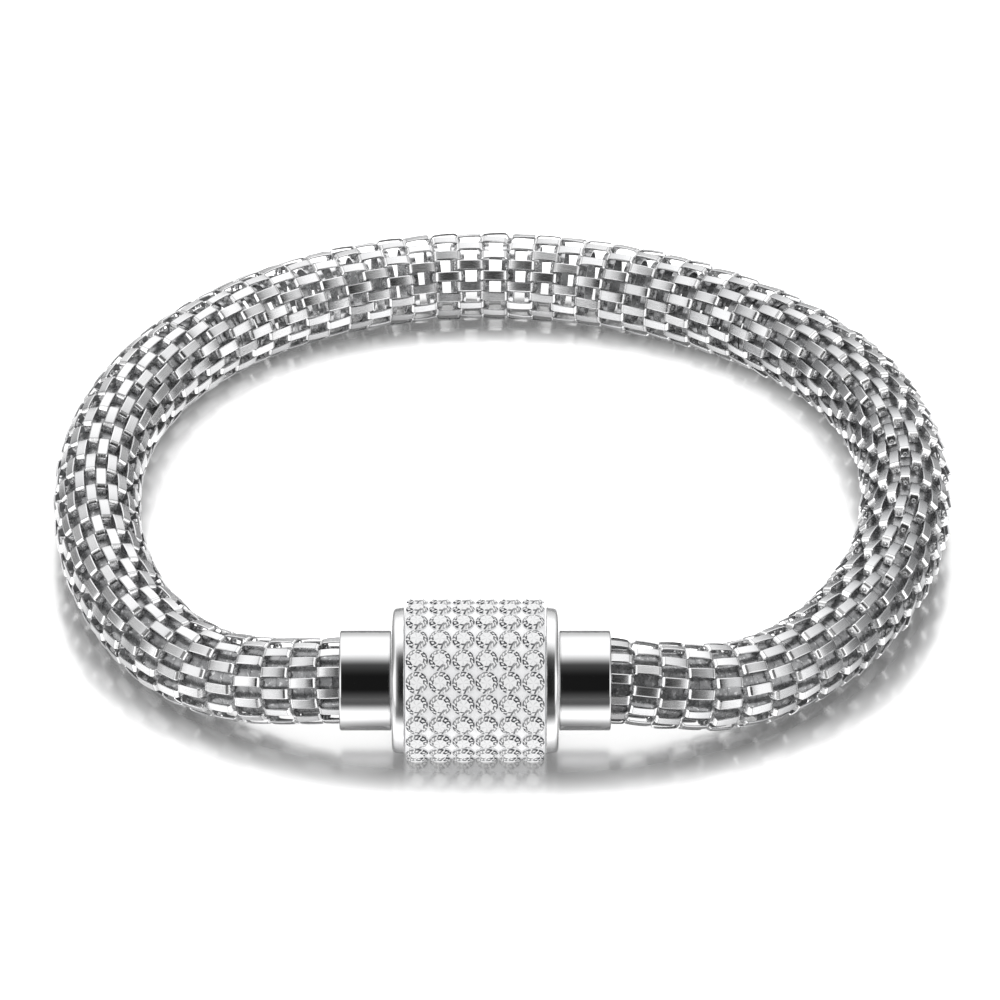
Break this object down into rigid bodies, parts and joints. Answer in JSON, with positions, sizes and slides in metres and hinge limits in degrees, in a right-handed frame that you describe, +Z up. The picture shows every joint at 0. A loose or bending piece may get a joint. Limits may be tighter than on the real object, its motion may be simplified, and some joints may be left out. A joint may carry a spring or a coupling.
{
  "type": "woven mesh bracelet with barrel clasp",
  "caption": "Hollow woven steel tube bracelet, bent into an oval loop, its ends held in cups of a crystal-covered barrel clasp with polished rims.",
  "frame": {"origin": "centre of the bounding box, on the surface that the bracelet lies on", "axes": "+Z up, -Y towards the clasp, +X along the clasp's axis to the wearer's other cup; the loop lies flat in the XY plane"},
  "size_m": [0.0726, 0.0623, 0.013],
  "materials": {
    "woven_steel": "flat drawn steel ribbon, bright, with fine draw lines along each bar",
    "polished_steel": "mirror polished steel with faint turning lines",
    "setting_clay": "smooth silvery-white setting clay, satin",
    "crystal": "clear cut crystal with a bright foil behind it",
    "core_steel": "plain turned steel, hidden"
  },
  "bodies": {
    "root": {"mesh_tube": "woven_steel", "end_cup_left": "polished_steel", "end_cup_right": "polished_steel", "rim_left": "polished_steel", "rim_right": "polished_steel", "crystal_setting": "setting_clay", "crystals": "crystal", "clasp_core": "core_steel"}
  },
  "joints": []
}
